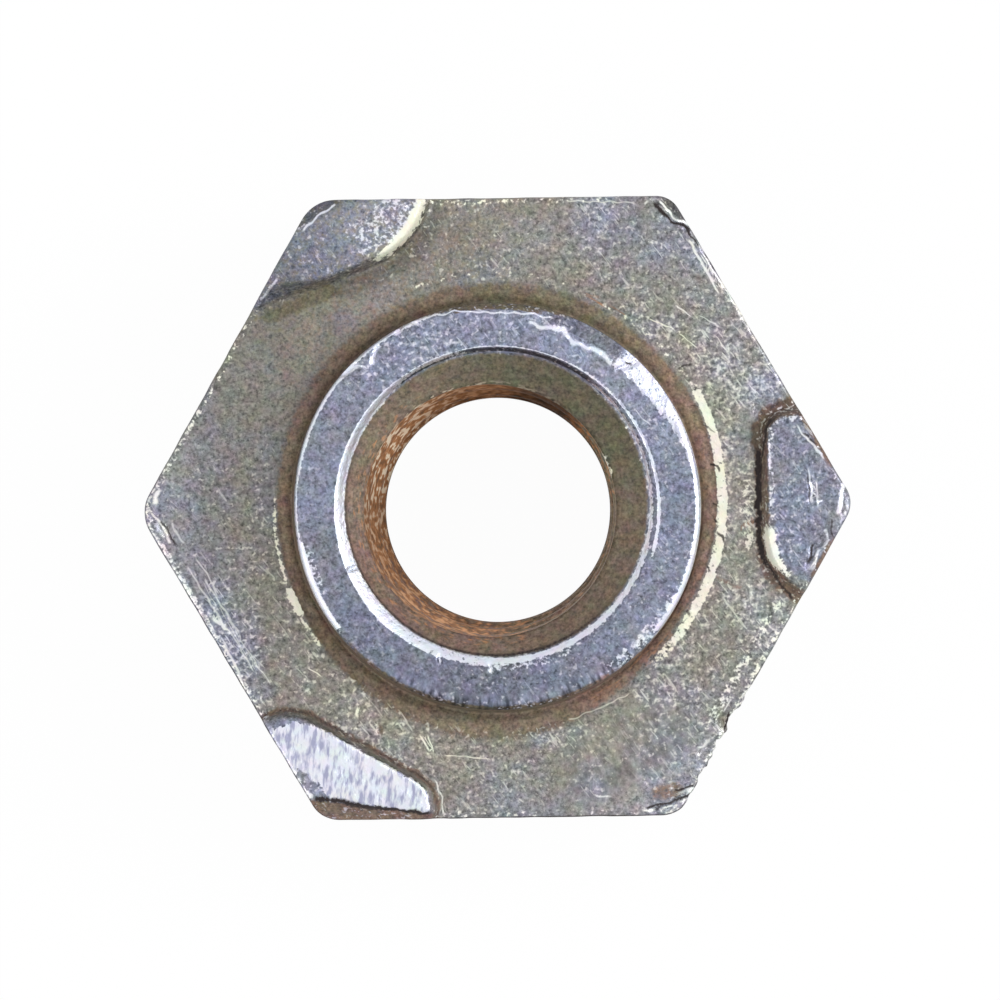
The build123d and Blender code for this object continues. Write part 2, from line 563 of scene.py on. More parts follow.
# %% Skin
def join_rings(rings):
    """Vertices and faces of a closed skin over rings, the last of which meets the first."""
    starts = np.cumsum([0] + [len(points) for points in rings])
    faces = []
    for i, points in enumerate(rings):
        j = (i + 1) % len(rings)
        a, b = len(points), len(rings[j])
        first, second = starts[i], starts[j]
        if a == b:
            k = np.arange(a)
            n = (k + 1) % a
            faces += np.column_stack([first + k, first + n, second + n, second + k]).tolist()
            continue
        fine_first = a > b
        fine, coarse = (first, second) if fine_first else (second, first)
        count = min(a, b)
        k = np.arange(count)
        left, middle, right = fine + 2 * k, fine + 2 * k + 1, fine + (2 * k + 2) % (2 * count)
        here, ahead = coarse + k, coarse + (k + 1) % count
        for corners in ((here, left, middle), (here, middle, ahead), (ahead, middle, right)):
            triangle = np.column_stack(corners)
            faces += (triangle if fine_first else triangle[:, ::-1]).tolist()
    return np.vstack(rings), faces


rings = collar + face + lower
vertices, faces = join_rings(rings)
mesh = bpy.data.meshes.new("worn_weld_nut")
mesh.from_pydata((vertices * MM).tolist(), [], faces)
mesh.polygons.foreach_set("use_smooth", np.ones(len(mesh.polygons), bool))
mesh.update()
nut = bpy.data.objects.new("worn_weld_nut", mesh)
bpy.context.scene.collection.objects.link(nut)
triangles = sum(len(face) - 2 for face in faces)
print(f"{len(vertices)} points, {triangles} triangles")

# %% [markdown]
# ## Where the finishes lie
#
# The plating did not wear evenly. Scraped metal is bright, the hollow round the collar keeps a brown
# film, the thread has rusted and grime sits in the cracks. The bright layer also paints highlights
# where edges face the lamps, and the grime also paints shade in creases, grooves and at the feet of
# walls. These could be painted on by hand. Here each one gets a number from 0 to 1 at each point of
# the mesh, stored as an attribute, so that it keeps its true place. The material later breaks the
# edges up with noise, so that they never look painted. One more attribute, the tone, only makes a
# place lighter or darker, partly as handling and old oil do and partly as painted light and shade.
# The marks of the upper face fade out down the flats, which touched nothing.

# %% Zones
x, y, z = vertices.T
radius = np.hypot(x, y)
angle = np.degrees(np.arctan2(y, x))
wx, wy = wander(x, y)
facing_up = z > weld_face - 0.30  # the weld face and all above it, with the top of the flats
edge = collar_edge(angle)
on_face = facing_up & (radius > edge + 0.01)
mouth = np.hypot(x - mouth_centre[0], y - mouth_centre[1]) - mouth_radius  # 0 at the countersink's rim
in_cone = (z > throat_height - 0.02) & (mouth < -0.005)
on_collar = (z > weld_face + 0.25) & (radius < edge + 0.01) & (radius > bevel_radius - 0.2) & ~in_cone
in_bore = (radius < root_radius + 0.05) & (z < throat_height - 0.01) & (z > countersink_depth)
across_bevel = mouth / np.maximum(mouth + bevel_radius - radius, 0.02)  # 0 and 1 at its two rims
pad_inside = {name: inside_pad(pad, wx, wy) for name, pad in pads.items()}
to_outline = hexagon_radius(angle) - radius
outer_part = radius > 3.9  # well outside the hollow
down_the_side = smooth((weld_face - 0.16 - z) / 0.14)  # 0 on the weld face, 1 on the flats below it


def most(*masks):
    return np.maximum.reduce([np.broadcast_to(mask, x.shape) for mask in masks])


def stretches(value, *marks):
    """The strongest of some marks, each between two directions and where the value is between two limits.

    A mark is: from, to, how softly it ends there, low, high, how softly it ends there, and its strength.
    """
    return most(*(between(angle, start, end, ends) * band(value, low, high, fade) * strength
                  for start, end, ends, low, high, fade, strength in marks))


# %% [markdown]
# Scraped metal comes first, and with it painted highlights in the same bright colour. On the collar it
# follows the rounded edge, the sheared place and the bevel at the mouth, and there much of the white
# is painted highlight, where those slopes face the lamps. On the face it lies along the lip of the
# hollow, on the weld projections and in chips along the flats; the bright lip on the right and the
# rolled ends of the upper left and right projections are painted highlights too. Only the broad
# places are done here: a line thinner than the mesh's faces would look ragged, so the thin ones are
# drawn in the material later.

# %% Scraped metal and painted highlights
def sheared_from(angle):
    """Inner edge of the sheared place on the collar."""
    return by_angle(angle, {8: 2.92, 13: 2.87, 20: 2.82, 25: 2.77, 30: 2.73, 37: 2.69, 50: 2.66})


def scraped_and_highlit_on_collar():
    in_from_edge = edge - radius
    narrowing = by_angle(angle, {225: 1.05, 238: 0.90, 268: 0.75})
    # Painted highlight as well as bare metal: the sheared place, the rounded edge and the bevel are made
    # bright where they face the lamps.
    sheared = smooth((np.hypot(wx, wy) - sheared_from(angle)) / 0.03 + 0.5) * between(angle, 9, 50, 2) * 0.72
    rounded = stretches(
        in_from_edge,
        (-40, 16, 12, -0.02, 0.075, 0.02, 1),
        (-56, -24, 14, -0.02, 0.20, 0.12, 0.45),
        (168, 193, 6, 0.0, 0.045, 0.02, 0.8),
        (189, 217, 4, -0.01, 0.09, 0.02, 1),
        (191, 206, 6, 0.07, 0.20, 0.06, 0.42),
        (108, 170, 8, 0.0, 0.05, 0.03, 1),
    )
    bevel = stretches(
        across_bevel,
        (135, 228, 6, -0.1, 1.10, 0.12, 1),
        (225, 268, 6, -0.1, narrowing, 0.12, 0.8),
        (262, 345, 8, 0.0, 0.585, 0.15, 0.95),
        (262, 300, 12, 0.4, 1.2, 0.3, 0.4),
        (340, 412, 8, 0.0, 0.36, 0.10, 1),
        (342, 424, 8, 0.88, 1.25, 0.12, 0.95),
        (60, 104, 8, 0.94, 1.14, 0.10, 0.85),
        (100, 140, 6, 0.25, 1.1, 0.3, 0.66),
        (128, 150, 8, 0.0, 1.1, 0.2, 0.9),
    )
    return most(sheared, rounded, bevel)


def scraped_and_highlit_on_face():
    low = by_angle(angle, {0: 3.205, 10: 3.22, 22: 3.28, 32: 3.31, 315: 3.14, 328: 3.15, 345: 3.19})
    high = by_angle(angle, {0: 3.357, 10: 3.367, 22: 3.41, 32: 3.42, 315: 3.27, 328: 3.30, 345: 3.34})
    strength = by_angle(angle, {0: 0.90, 10: 0.80, 20: 0.92, 32: 0.82, 315: 0.55, 330: 0.70, 345: 0.82})
    # Painted highlight: the lip of the hollow, brightest on the right.
    lip = stretches(
        radius,
        (-46, 31, 6, low, high, 0.04, strength),
        (28, 60, 10, 3.30, 3.38, 0.04, 0.36),
        (66, 112, 10, 3.39, 3.44, 0.03, 0.33),
        (47, 66, 4, 3.30, 3.34, 0.03, 0.33),
        (176, 200, 4, 3.20, 3.255, 0.045, 0.70),
        (200, 208, 3, 3.18, 3.285, 0.03, 1),
        (207, 218, 4, 3.21, 3.28, 0.05, 0.56),
        (353, 366, 8, 3.56, 3.74, 0.10, 0.46),
    )
    patch = stroke(wx, wy, (350.6, 3.72), (353.0, 3.70), 0.09) * 0.72
    left, upper, right = pad_inside["lower_left"], pad_inside["upper_left"], pad_inside["right"]
    start = 0.12 + 0.16 * smooth((toward(x, y, 150) - 0.5) / 1.2)
    short_of_flank = 0.03 - toward(x, y, flank_direction) + flank_distance
    crescent = 0.10 + 0.13 * between(angle, 100, 113, 8)
    # The lower left projection's top is scraped bright; the rolled ends of the upper left and right
    # projections are painted highlights.
    pad = most(
        smooth((left - start) / 0.05 + 0.5) * smooth(short_of_flank / 0.05),
        stretches(upper, (102, 116, 3, 0.06, crescent, 0.12, 1), (103, 118, 6, 0.18, 0.75, 0.20, 0.40)),
        stretches(right, (346.5, 355, 4, 0.06, 0.22, 0.05, 1), (353, 380, 6, 0.13, 0.23, 0.06, 0.42)),
    )
    pad = pad * (1 - 0.8 * stroke(x, y, (233.0, 4.80), (238.5, 4.90), 0.12))
    chipped = by_angle(angle, {0: 0.2, 30: 0.15, 50: 0.10, 65: 0.15, 70: 0.30, 100: 0.35, 120: 0.1,
                               140: 0.3, 163: 0.4, 175: 0.45, 186: 0.50, 200: 0.50, 218: 0.42, 232: 0.1,
                               255: 0.1, 262: 0.35, 290: 0.2, 306: 0.42, 328: 0.46, 345: 0.3})
    flats = chipped * band(to_outline, 0.015, 0.10, 0.03)
    ridge = stretches(radius, (312, 342, 3, 4.15, 4.45, 0.1, 1))
    ridge = ridge * band(toward(wx, wy, 330), 4.16, 4.30, 0.06) * 0.42
    return most(lip, patch, pad, flats, ridge)


# %% [markdown]
# Old oil and corrosion left a brown film. It fills the hollow, where nothing rubs it off, and lies
# over the cone. Along the walls of the projections it is partly film and partly painted shade at their
# feet. In some directions it is more olive, in others redder, so a second number says which.

# %% Brown film
def brown_mask():
    end = by_angle(angle, {0: 3.20, 22: 3.26, 40: 3.24, 75: 3.26, 100: 3.28, 130: 3.27, 180: 3.18,
                           205: 3.18, 235: 3.29, 265: 3.37, 285: 3.31, 305: 3.18, 315: 3.11, 330: 3.10,
                           345: 3.17})
    fade = by_angle(angle, {0: 0.05, 50: 0.12, 80: 0.24, 130: 0.24, 180: 0.10, 205: 0.08, 250: 0.26,
                            300: 0.16})
    hollow = smooth(0.5 + (end - radius) / fade)
    left, upper, right = pad_inside["lower_left"], pad_inside["upper_left"], pad_inside["right"]
    # Partly film, partly painted shade along the feet of the projections' walls.
    wall_film_and_shade = most(
        band(left, -0.03, 0.06, 0.05) * 0.9,
        stretches(
            right,
            (13, 21, 3, -0.10, 0.14, 0.08, 0.95),
            (336, 350, 3, -0.10, 0.12, 0.06, 0.9),
            (346, 376, 3, -0.05, 0.13, 0.04, 1),
        ),
        stretches(upper, (124, 141, 5, -0.20, 0.04, 0.14, 0.9), (102, 126, 5, -0.14, 0.03, 0.14, 0.55)),
    )
    past_flank = toward(x, y, flank_direction) - flank_distance
    flank = smooth(past_flank / 0.03) * smooth(left / 0.05) * between(angle, 236, 259, 2)
    at_right_pad = between(angle, 6, 20, 3) + between(angle, 346, 354, 3)
    strip = band(to_outline, -0.1, 0.06, 0.04) * at_right_pad * 0.9
    spots = [  # from, to, width, strength
        ((298.8, 4.76), (301.5, 4.84), 0.15, 0.74),
        ((241.3, 3.60), (241.6, 3.66), 0.06, 0.60),
        ((341.6, 3.38), (341.0, 3.70), 0.05, 0.50),
    ]
    stains = most(
        strokes(x, y, spots),
        stretches(radius, (110, 132, 12, 3.50, 3.95, 0.3, 0.45)),
        0.38 * between(angle, 85, 148, 25),
    )
    rounded = stretches(
        edge - radius,
        (222, 305, 20, -0.05, 0.05, 0.04, 0.9),
        (76, 102, 5, -0.05, 0.085, 0.03, 0.9),
        (68, 112, 8, -0.05, 0.03, 0.03, 0.85),
    )
    places = [on_face, in_cone | in_bore, on_collar]
    return np.select(places, [most(hollow, wall_film_and_shade, flank, strip, stains), 1.0, rounded], 0.0)


def reddish_mask():
    """Where the film turns from olive to a reddish brown."""
    cone = by_angle(angle, {0: 0.45, 20: 0.05, 85: 0.05, 120: 0.4, 160: 0.5, 190: 0.8, 210: 1.0, 250: 1.0,
                            275: 0.6, 310: 0.6, 335: 0.5})
    hollow = by_angle(angle, {0: 0.75, 30: 0.8, 55: 0.3, 90: 0.25, 120: 0.65, 150: 0.65, 180: 0.6,
                              210: 0.65, 240: 0.5, 270: 0.3, 295: 0.85, 330: 0.85})
    outer = by_angle(angle, {0: 0.85, 90: 0.3, 120: 0.1, 155: 0.1, 200: 0.7, 240: 0.85})
    return np.select([in_cone | in_bore, outer_part], [cone, outer], hollow)


# %% [markdown]
# Bare zinc looks bluish, the worn and yellowed face does not. Places that stand high were rubbed down
# to it: the collar, the crests of the projections and the corners.

# %% Bluish zinc
def cool_mask():
    pad = most(*(smooth(inside / 0.08 - 1) for inside in pad_inside.values()))
    rolled = most(
        stretches(pad_inside["upper_left"], (100, 118, 3, 0.0, 0.22, 0.05, 1)),
        stretches(pad_inside["right"], (342, 357, 3, 0.0, 0.24, 0.05, 1)),
    )
    corners = by_angle(angle, {0: 0.3, 45: 0.4, 60: 0.5, 90: 0.0, 130: 0.0, 165: 0.3, 190: 0.6, 215: 0.5,
                               240: 0.2, 285: 0.5, 300: 0.5, 330: 0.2})
    face = most(pad * (1 - rolled) * 0.85, corners * smooth(radius - 3.5))
    return np.where(on_collar, 1.0, 0) + np.where(on_face, face, 0)


# %% [markdown]
# Grime lies in the mouth's rim, in the grooves at the projections, at the collar's foot and along the
# flats, and there it is also painted shade, which falls in those creases and at those feet. The fine
# bright marks of handling are counted next to it, partly as painted glints: they are thick on the
# right and lower side, towards the lamps, and thin where the film or the projections shield the face.

# %% Grime, painted shade, fine marks and glints
def grime_and_shade_mask():
    at_rim = by_angle(angle, {0: 0.75, 60: 0.5, 90: 0.3, 130: 0.2, 180: 0.6, 270: 0.8, 330: 0.8})
    at_outline = by_angle(angle, {0: 0.1, 30: 0.4, 60: 0.1, 90: 0.4, 120: 0.3, 150: 0.3, 200: 0.6, 235: 0.7,
                                  250: 0.3, 262: 0.9, 290: 1.0, 330: 0.3})
    at_foot = by_angle(angle, {0: 0.25, 90: 0.3, 150: 0.5, 230: 0.4, 300: 0.3})
    # Partly grime, partly painted shade in the rim, the grooves, the collar's foot and along the outline.
    rim = band(mouth, -0.05, 0.0, 0.02) * at_rim
    groove = band(pad_inside["right"], -0.045, 0.035, 0.03) * between(angle, 346, 372, 5)
    left_groove = band(pad_inside["lower_left"], 0.0, 0.04, 0.03) * 0.55
    outline = band(to_outline, -0.2, 0.02, 0.02) * at_outline
    foot = band(radius - edge, 0.0, 0.05, 0.03) * at_foot
    return np.where(facing_up | on_collar, most(rim, groove, left_groove, outline, foot), 0)


def wear_and_glint_mask():
    """How thickly a place is covered with fine bright marks and painted glints."""
    face = by_angle(angle, {0: 0.9, 15: 1.0, 35: 0.9, 60: 0.5, 80: 0.35, 100: 0.25, 125: 0.05, 160: 0.1,
                            185: 0.3, 205: 0.6, 225: 0.75, 245: 0.75, 270: 0.55, 300: 0.5, 330: 0.8})
    collar = by_angle(angle, {0: 0.2, 30: 0.25, 60: 0.4, 90: 0.35, 115: 0.8, 132: 0.7, 145: 0.2, 200: 0.1,
                              250: 0.15, 280: 0.35, 300: 0.3})
    film = smooth((radius - edge - 0.25) / 0.15)
    pads_too = most(*(smooth(inside / 0.1) for inside in pad_inside.values()))
    # Fewer marks where stain and painted shade lie beside the right projection.
    stain_and_shade_beside_pad = band(pad_inside["right"], -0.32, 0.0, 0.10) * between(angle, 10, 22, 3)
    on_pads = by_angle(angle, {0: 0.45, 60: 0.2, 120: 0.3, 300: 0.2})
    face = face * film * (1 - pads_too) * (1 - 0.85 * stain_and_shade_beside_pad) + on_pads * pads_too
    return np.where(on_face, face, 0) + np.where(on_collar, collar, 0)


# %% [markdown]
# The tone is one number for lighter or darker. On the real nut part of it comes from thin films and
# old oil, which lie thicker on some sides. The rest is painted light and shade: the values for each
# direction also hold how the light falls on each side, and shade is painted in at the collar's foot,
# beside the projections and on sloping facets. More colours could be mixed for it, but one number at
# each point is simpler, and leaves the colours as they are.

# %% Tone
def tone_and_shading_map():
    """1 is the plain tone, lower is darker, from film and from painted shade."""
    face = by_angle(angle, [1.06, 0.98, 0.92, 1.0, 1.05, 0.80, 0.80, 0.83, 0.99, 0.93, 0.92, 0.92])
    collar = by_angle(angle, [0.88, 1.05, 1.03, 0.94, 0.92, 0.95, 0.93, 0.79, 0.74, 0.66, 0.82, 0.92])
    # Painted shade: the facets cut into the collar's upper edge are made darker.
    collar = collar * (1 - 0.40 * between(angle, 50, 74, 3) * smooth((radius - 2.72) / 0.05))
    collar = collar * (1 - 0.28 * between(angle, 74, 108, 6) * smooth((radius - 2.87) / 0.03))
    film = by_angle(angle, [1.80, 1.85, 1.62, 1.38, 1.22, 1.6, 1.95, 1.6, 1.62, 1.35, 1.35, 1.6])
    cone = by_angle(angle, [0.93, 0.77, 0.73, 0.80, 1.0, 1.12, 1.10, 0.99, 0.93, 0.95, 0.82, 0.90])
    bore = by_angle(angle, {0: 1.7, 35: 1.25, 55: 0.25, 75: 0.30, 90: 1.0, 120: 1.25, 150: 1.2, 180: 0.78,
                            210: 0.95, 240: 1.3, 270: 1.8, 300: 1.75, 330: 1.4})
    upper, right = pad_inside["upper_left"], pad_inside["right"]
    shadow = 1 - 0.32 * band(upper, -0.26, 0.0, 0.14) * between(angle, 100, 126, 5)
    pad = 1 - 0.08 * smooth(upper / 0.1) * (1 + smooth((toward(x, y, 205) - 0.5) / 1.0))
    pad = pad * (1 - 0.14 * smooth(right / 0.1))
    # Painted shade along the foot of the right projection's upper end.
    pad = pad * (1 - 0.32 * band(right, -0.12, 0.14, 0.08) * between(angle, 11, 22, 3))
    # Painted shade on the struck flat at the upper right corner; the facet past the upper left corner is
    # made darker too.
    past_corner = toward(x, y, 120) - pad_corner[120]
    crescent = 1 - 0.45 * smooth(past_corner / 0.03) * between(angle, 116, 125.5, 2)
    struck = 1 - 0.55 * smooth((radius - 4.95) / 0.04) * between(angle, 55.5, 62, 1.5)
    lower_edge = 1 - 0.45 * between(angle, 240, 292, 15) * smooth((radius - edge + 0.12) / 0.1)
    # Painted shade: the bevel at the mouth is made darker on its upper side.
    upper_bevel_shade = by_angle(angle, {50: 0.72, 75: 0.68, 95: 0.58, 120: 0.55}) * between(angle, 52, 133, 12)
    upper_bevel_shade = 1 - upper_bevel_shade * band(across_bevel, 0.05, 0.80, 0.2)
    corners = between(angle, 165, 207, 15) + between(angle, 285, 315, 15)
    face = face * (1 + 0.22 * smooth((radius - 4.3) / 0.3) * corners)
    # Painted highlight: the right end of the upper left projection is made lighter.
    upper_pad_highlight = band(pad_inside["upper_left"], 0.1, 0.9, 0.2) * between(angle, 100, 119, 8)
    face = face * (1 + 0.25 * upper_pad_highlight)
    film_width = by_angle(angle, {0: 0.08, 60: 0.16, 120: 0.20, 180: 0.12, 250: 0.20, 300: 0.10})
    film_cover = smooth((hollow_end(angle) - radius) / film_width)
    # Painted shade: the film is made darker towards the collar's foot.
    film = film * (1.10 - 0.32 * smooth((3.13 - radius) / 0.13))
    collar = collar * lower_edge * upper_bevel_shade
    face = (face + (film - face) * film_cover) * shadow * pad * crescent * struck
    return np.select([in_bore, in_cone, on_collar, on_face], [bore, cone, collar, face], 1.0)


# %% [markdown]
# ## Thin lines
#
# Burrs, cracks and single scratches are thinner than the mesh's faces, so a mask at the points would
# blur them. A signed distance does not: it is positive on one side of the line and negative on the
# other, changes evenly from point to point, and passes 0 exactly on the line, also in the middle of a
# face. Each line is a chain of places given by a direction and a radius, so that it reads like a
# clock. Each point keeps its distance to the nearest line, counted in widths of that line, and how
# much the line counts there, so that a line ends where its chain ends.

# %% Bright lines
# Many of these bright lines are painted highlights: the glint along a burr, an edge or a lip.
bright_lines = [  # width, strength, then the places
    # the upper right corner
    (0.024, 1.0, (61.2, 5.04), (60.0, 5.00), (57.8, 4.94), (55.2, 4.945)),
    (0.030, 1.0, (59.2, 4.98), (58.4, 4.96)),
    (0.014, 0.9, (46.5, 4.655), (40.0, 4.555), (34.0, 4.500)),
    (0.022, 0.9, (53.6, 4.78), (50.1, 4.67), (47.0, 4.58), (43.5, 4.50)),
    (0.014, 0.7, (50.0, 4.75), (45.5, 4.62)),
    (0.030, 0.8, (62.8, 4.96), (63.2, 4.91)),
    (0.012, 0.5, (65.0, 4.86), (76.0, 4.57)),
    # the upper left projection
    (0.022, 0.9, (117.3, 4.97), (120.5, 4.96), (124.0, 4.90)),
    (0.020, 0.8, (133.2, 4.58), (137.3, 4.56)),
    # the left corner and the lower left flat
    (0.040, 1.0, (176.2, 4.90), (178.5, 4.97)),
    (0.024, 1.0, (180.1, 5.00), (181.3, 4.93), (182.2, 4.84), (184.2, 4.81), (185.2, 4.77)),
    (0.018, 0.5, (181.9, 4.71), (184.0, 4.65), (185.5, 4.56)),
    (0.034, 0.9, (200.5, 4.42), (202.0, 4.33), (203.5, 4.30)),
    (0.024, 0.8, (206.0, 4.40), (212.0, 4.45), (215.0, 4.49)),
    (0.018, 0.5, (190.0, 4.56), (203.0, 4.30)),
    (0.020, 0.5, (193.0, 4.36), (206.0, 4.15)),
    (0.016, 0.5, (198.0, 4.36), (213.0, 4.24)),
    (0.014, 0.4, (204.0, 4.20), (217.0, 4.16)),
    (0.016, 0.5, (189.0, 4.40), (196.0, 4.22)),
    # the lip of the hollow, on its lower side: a painted highlight
    (0.014, 0.45, (288.5, 3.24), (297.0, 3.27), (304.5, 3.305)),
    # the right projection
    (0.020, 0.9, (14.2, 4.52), (11.5, 4.62), (8.0, 4.79)),
    (0.034, 1.0, (3.0, 5.03), (1.0, 5.01), (358.4, 4.95)),
    (0.020, 0.8, (6.0, 4.56), (0.5, 4.57)),
    (0.018, 0.7, (4.0, 4.66), (359.6, 4.67)),
    (0.026, 1.0, (355.2, 4.78), (353.9, 4.83), (352.6, 4.76)),
    (0.034, 1.0, (351.8, 4.70), (350.2, 4.68), (348.2, 4.64)),
    # the lower right flat and corner
    (0.030, 1.0, (317.9, 4.62), (316.8, 4.60)),
    (0.016, 0.7, (319.8, 4.40), (317.6, 4.42)),
    (0.022, 0.8, (311.5, 4.55), (310.0, 4.60), (309.3, 4.56)),
    (0.034, 1.0, (304.3, 4.97), (303.1, 4.94)),
    (0.020, 0.8, (303.0, 4.93), (301.9, 4.91)),
    (0.018, 0.8, (302.6, 5.06), (301.2, 5.03)),
    (0.020, 1.0, (299.7, 5.01), (298.2, 4.98)),
    (0.022, 1.0, (297.0, 4.94), (295.0, 4.88)),
    (0.016, 0.7, (288.0, 4.41), (290.5, 4.50)),
    # the lower left projection and the face beside it
    (0.016, 0.8, (256.5, 4.06), (258.5, 4.28), (259.3, 4.50)),
    (0.014, 0.8, (219.5, 3.60), (223.0, 3.52)),
    (0.030, 1.0, (235.3, 3.64), (234.6, 3.55)),
    (0.016, 0.9, (250.8, 3.48), (253.4, 3.66)),
    (0.016, 0.9, (252.4, 3.46), (254.6, 3.64)),
    (0.012, 0.6, (257.5, 3.66), (267.0, 3.65)),
    # single scratches on the upper right of the face
    (0.012, 0.7, (43.0, 3.66), (38.0, 3.72)),
    (0.012, 0.8, (50.0, 3.54), (45.5, 3.62), (44.5, 3.64)),
    (0.012, 0.7, (37.0, 4.04), (33.5, 4.05)),
    (0.012, 0.7, (47.5, 3.92), (44.0, 3.96)),
    (0.012, 0.6, (42.5, 4.06), (38.5, 4.16)),
    # the sheared edge and the nicks of the collar
    (0.048, 1.0, (50.5, 2.67), (54.5, 2.71), (58.5, 2.69), (62.0, 2.64), (64.5, 2.63)),
    (0.042, 1.0, (64.5, 2.64), (67.0, 2.70), (69.5, 2.78)),
    (0.060, 1.0, (68.5, 2.76), (71.0, 2.74)),
    (0.034, 1.0, (71.0, 2.73), (75.0, 2.69), (79.0, 2.72)),
    (0.016, 0.9, (73.0, 2.87), (78.0, 2.86), (84.0, 2.83), (94.0, 2.84), (101.0, 2.91), (110.0, 2.95)),
    (0.024, 1.0, (49.5, 2.70), (47.0, 2.82), (45.2, 2.94)),
    (0.034, 1.0, (112.2, 2.86), (113.5, 2.93), (117.0, 2.94), (119.5, 2.89)),
    (0.044, 1.0, (125.3, 2.91), (128.5, 2.82), (130.0, 2.74)),
    (0.036, 1.0, (132.2, 2.76), (133.5, 2.88), (138.5, 2.93)),
    (0.012, 0.7, (34.5, 2.45), (28.0, 2.52)),
    (0.024, 0.9, (248.0, 2.33), (249.0, 2.40)),
    (0.022, 0.8, (266.5, 2.31), (267.5, 2.37)),
]
print(f"{len(bright_lines)} burrs and scratches")

# %% [markdown]
# Cracks, grooves and the shadows under burrs are dark; the shadows and the dark of the grooves are
# painted shade. Most of them lie close beside a bright line, as a raised lip and the gap under it do.
# They are chains of the same kind, in a list of their own, because the material lays them on with the
# grime and painted shade.

# %% Dark lines
dark_lines = [
    # the upper right corner
    (0.030, 1.0, (61.6, 4.98), (60.2, 4.93), (58.9, 4.895), (57.5, 4.87), (56.2, 4.90), (54.8, 4.915)),
    (0.020, 0.9, (54.8, 4.90), (53.6, 4.85), (51.5, 4.80)),
    # the left corner
    (0.022, 0.8, (181.6, 4.88), (182.5, 4.78), (184.6, 4.75), (185.6, 4.68)),
    # the groove at the right projection, darkened as painted shade, and its cracks
    (0.022, 0.9, (12.5, 3.98), (8.0, 3.87), (3.0, 3.84), (357.0, 3.83), (352.0, 3.86), (349.0, 3.95),
     (346.0, 4.12)),
    (0.030, 0.9, (17.0, 4.20), (15.3, 4.07), (12.5, 3.98)),
    (0.040, 0.9, (346.0, 4.12), (343.8, 4.30), (342.2, 4.48)),
    (0.024, 0.8, (10.5, 4.70), (13.0, 4.59)),
    (0.026, 0.9, (352.4, 4.62), (350.5, 4.60), (348.9, 4.59)),
    (0.020, 0.8, (357.2, 4.87), (355.5, 4.85), (354.5, 4.90)),
    (0.018, 0.7, (5.5, 4.53), (0.5, 4.53)),
    # the lower right flat and corner
    (0.028, 1.0, (317.7, 4.50), (316.4, 4.55), (315.2, 4.62)),
    (0.020, 0.9, (304.6, 4.93), (303.2, 4.90), (301.4, 4.86)),
    (0.030, 0.9, (303.2, 5.02), (301.6, 4.98), (299.7, 4.97)),
    (0.020, 0.9, (299.7, 4.97), (297.7, 4.89), (295.8, 4.86)),
    (0.018, 0.7, (297.4, 4.97), (298.6, 4.93)),
    # the lower left projection
    (0.060, 1.0, (237.3, 4.96), (240.3, 4.83), (244.5, 4.75), (248.0, 4.665)),
    (0.034, 1.0, (248.0, 4.67), (252.5, 4.58), (257.0, 4.525)),
    # the collar, the mouth and the face beside the lip
    (0.030, 0.9, (47.5, 2.82), (45.6, 2.86)),
    (0.022, 0.8, (202.3, 2.22), (201.8, 2.30)),
    (0.024, 0.7, (339.4, 3.82), (339.8, 3.88)),
    (0.026, 0.8, (36.5, 3.34), (35.8, 3.50)),
    # short cracks across the lip of the hollow
    (0.022, 0.9, (10.4, 3.18), (10.0, 3.26), (8.8, 3.28)),
    (0.026, 0.9, (352.8, 3.20), (352.2, 3.30), (350.6, 3.33)),
    (0.020, 0.8, (356.4, 3.16), (355.6, 3.22)),
    (0.018, 0.7, (0.2, 3.15), (359.6, 3.21)),
    (0.022, 0.8, (343.6, 3.17), (342.4, 3.24)),
    (0.024, 0.8, (330.8, 3.15), (330.2, 3.21)),
    (0.016, 0.6, (20.5, 3.26), (18.5, 3.34)),
    (0.016, 0.6, (27.5, 3.20), (25.5, 3.27)),
    (0.012, 0.7, (50.0, 4.775), (44.0, 4.640), (39.0, 4.570)),
]


print(f"{len(dark_lines)} cracks and grooves")

# %% [markdown]
# Each line could be a thin curve laid on the metal, but it would float or sink wherever the surface is
# rough. Its distance is worked out for all points at once instead, and the material does the drawing.
# The collar's wall is left out: seen from the side, a line would run down it as a stripe.

# %% Distance to the lines
lowest_line = 3.40  # height; lines lie on the weld face and above it
far_away = 9.0
line_reach = 0.055  # how far from a line its distance still counts


def nearest_line(lines):
    """For each point, its signed distance to the nearest line, in widths, and that line's strength."""
    closest = np.full(len(x), far_away)
    side = np.full(len(x), far_away)
    counts = np.zeros(len(x))
    for width, strength, *places in lines:
        for start, end in zip(places, places[1:]):
            ax, ay = at(*start)
            bx, by = at(*end)
            length = sqrt((bx - ax) ** 2 + (by - ay) ** 2)
            along = ((wx - ax) * (bx - ax) + (wy - ay) * (by - ay)) / length
            across = ((wy - ay) * (bx - ax) - (wx - ax) * (by - ay)) / length
            past_end = np.maximum(np.maximum(-along, along - length), 0)
            away = np.hypot(across, past_end)
            closer = away < closest
            closest = np.where(closer, away, closest)
            side = np.where(closer, across / width, side)
            reach = smooth((line_reach - np.abs(across)) / 0.02) * smooth(0.5 + (0.01 - past_end) / 0.02)
            counts = np.maximum(counts, strength * reach)
    on_wall = (radius < edge + 0.01) & (z > weld_face - 0.05) & (z < collar_top - 0.12) & ~in_cone
    return side, counts * (z > lowest_line) * ~on_wall


# %% [markdown]
# Bare steel rusts where the tap cut through the plating. Rust colours the thread, most of all on its
# left side, and creeps up into the cone. Between it lie pale specks of zinc corrosion. The same pale
# colour paints a highlight along the throat's edge on its upper side, and a glint at the right is laid
# on with the scraped metal. The flats show faint upright marks, from the die that the steel was drawn
# through.

